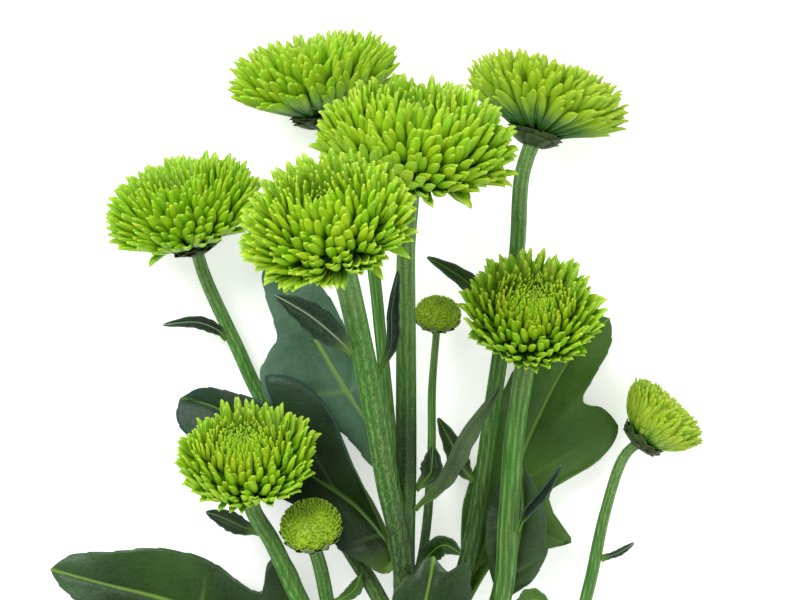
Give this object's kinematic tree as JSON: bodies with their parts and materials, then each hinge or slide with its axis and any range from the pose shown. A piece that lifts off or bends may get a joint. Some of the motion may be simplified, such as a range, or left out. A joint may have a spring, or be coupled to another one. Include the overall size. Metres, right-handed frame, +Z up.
{
  "type": "pompon chrysanthemum",
  "caption": "Cut spray of green pompon chrysanthemum, laid down: round heads of packed quilled florets, buds and lobed leaves on a branching stem.",
  "frame": {"origin": "middle of the plan box of the spray, on the surface that it lies on", "axes": "+Y along the stem from its cut end to the blooms, +Z up from the surface, +X to the right seen from above with the blooms at the top"},
  "size_m": [0.1544, 0.2208, 0.0918],
  "materials": {
    "bloom": "satin",
    "bud": "satin",
    "calyx": "matte",
    "leaf": "satin",
    "leaf_grey": "matte",
    "stem": "satin"
  },
  "bodies": {
    "root": {"stem": "stem", "bloom_top_left": "bloom", "bloom_top_centre": "bloom", "bloom_middle": "bloom", "bloom_left": "bloom", "bloom_top_right": "bloom", "bloom_right": "bloom", "bloom_lower_left": "bloom", "bud_back": "bud", "bud_low": "bud", "bud_right": "bud", "calyx_top_left": "calyx", "calyx_top_centre": "calyx", "calyx_middle": "calyx", "calyx_left": "calyx", "calyx_top_right": "calyx", "calyx_right": "calyx", "calyx_lower_left": "calyx", "calyx_bud_back": "calyx", "calyx_bud_low": "calyx", "calyx_bud_right": "calyx", "leaf_right": "leaf", "leaf_back": "leaf_grey", "leaf_left": "leaf", "leaf_bottom_left": "leaf", "leaf_bottom": "leaf", "leaf_stalk": "leaf", "leaf_toothed": "leaf", "leaf_curled": "leaf", "leaf_bottom_right": "leaf", "bract_folded": "leaf", "bract_middle_left": "leaf", "bract_middle_right": "leaf", "bract_left": "leaf", "bract_lower_left": "leaf", "bract_bud_low": "leaf", "bract_centre_back": "leaf", "bract_top_right": "leaf", "bract_right": "leaf", "bract_bud_right": "leaf"}
  },
  "joints": []
}
